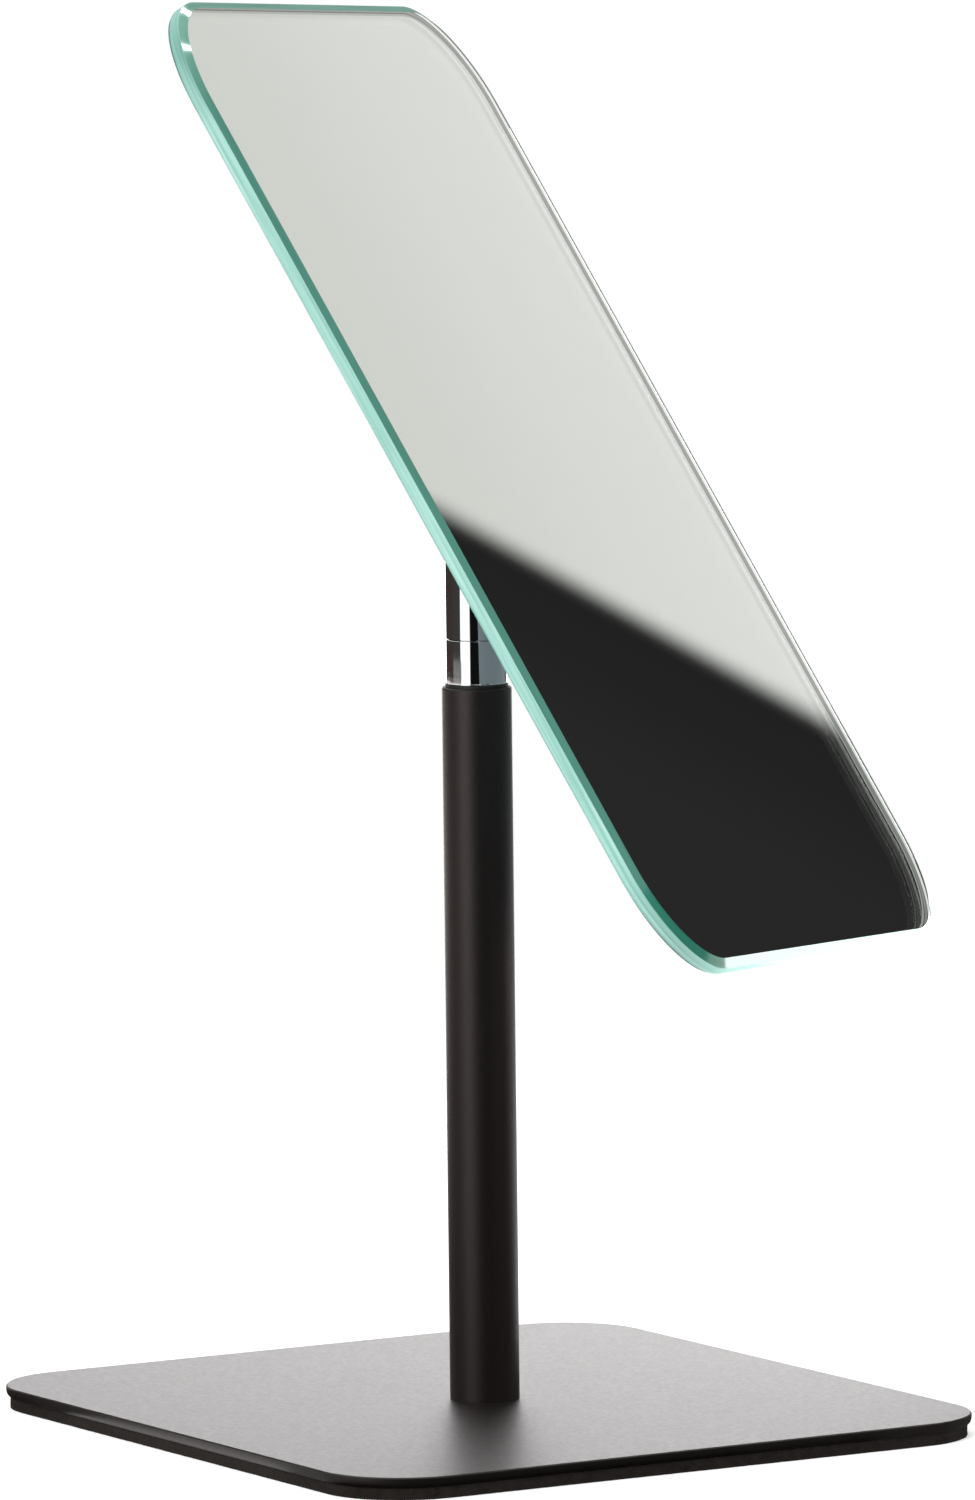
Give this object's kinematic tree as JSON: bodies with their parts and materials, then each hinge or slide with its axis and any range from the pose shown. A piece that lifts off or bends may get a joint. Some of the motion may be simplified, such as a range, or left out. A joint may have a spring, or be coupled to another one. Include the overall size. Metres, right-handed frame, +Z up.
{
  "type": "countertop mirror",
  "caption": "Frameless bevelled glass mirror with round corners on a chromed swivel and tilt joint, carried by a slim black column on a flat black base with a foam pad.",
  "frame": {"origin": "middle of the base's underside, on the surface that the mirror stands on", "axes": "+Z up the column; X and Y along the sides of the base; with the swivel at its middle the mirror faces -Y, and at rest it is turned towards +X as in the picture"},
  "size_m": [0.2012, 0.2113, 0.3289],
  "materials": {
    "black_coat": "satin",
    "foam": "matte",
    "chrome": "polished",
    "steel": "zinc plated",
    "nylon": "natural",
    "black_nylon": "matte",
    "backing_paint": "matte paint",
    "silver": "mirror",
    "glass": "clear, green at the rim"
  },
  "bodies": {
    "base": {"base_pad": "foam", "base_plate": "black_coat", "base_screw": "steel", "foot_plug": "steel", "column_tube": "black_coat", "tube_bush": "black_nylon", "joint_collar": "chrome", "swivel_washer": "nylon"},
    "head": {"swivel_head": "chrome", "swivel_stud": "steel", "swivel_springs": "steel", "swivel_flat_washer": "steel", "swivel_nut": "steel", "tilt_bolt": "steel", "tilt_washers": "nylon", "tilt_spring": "steel", "tilt_nut": "steel"},
    "tongue": {"tilt_tongue": "chrome", "turn_ring": "nylon", "turn_spring": "steel", "turn_screw": "steel"},
    "mirror": {"mount_disc": "steel", "adhesive_pad": "foam", "mirror_backing": "backing_paint", "mirror_silver": "silver", "mirror_glass": "glass"}
  },
  "joints": [
    {"name": "column_swivel", "type": "hinge", "parent": "base", "child": "head", "pos_m": [0, 0, 0.1806], "axis": [0, 0, 1], "continuous": true},
    {"name": "mirror_tilt", "type": "hinge", "parent": "head", "child": "tongue", "pos_m": [0, 0, 0.2053], "axis": [-0.7581, -0.6521, 0], "range_deg": [-36, 53]},
    {"name": "mirror_turn", "type": "hinge", "parent": "tongue", "child": "mirror", "pos_m": [0, 0, 0.2053], "axis": [0.556, -0.6464, 0.5225], "continuous": true}
  ]
}
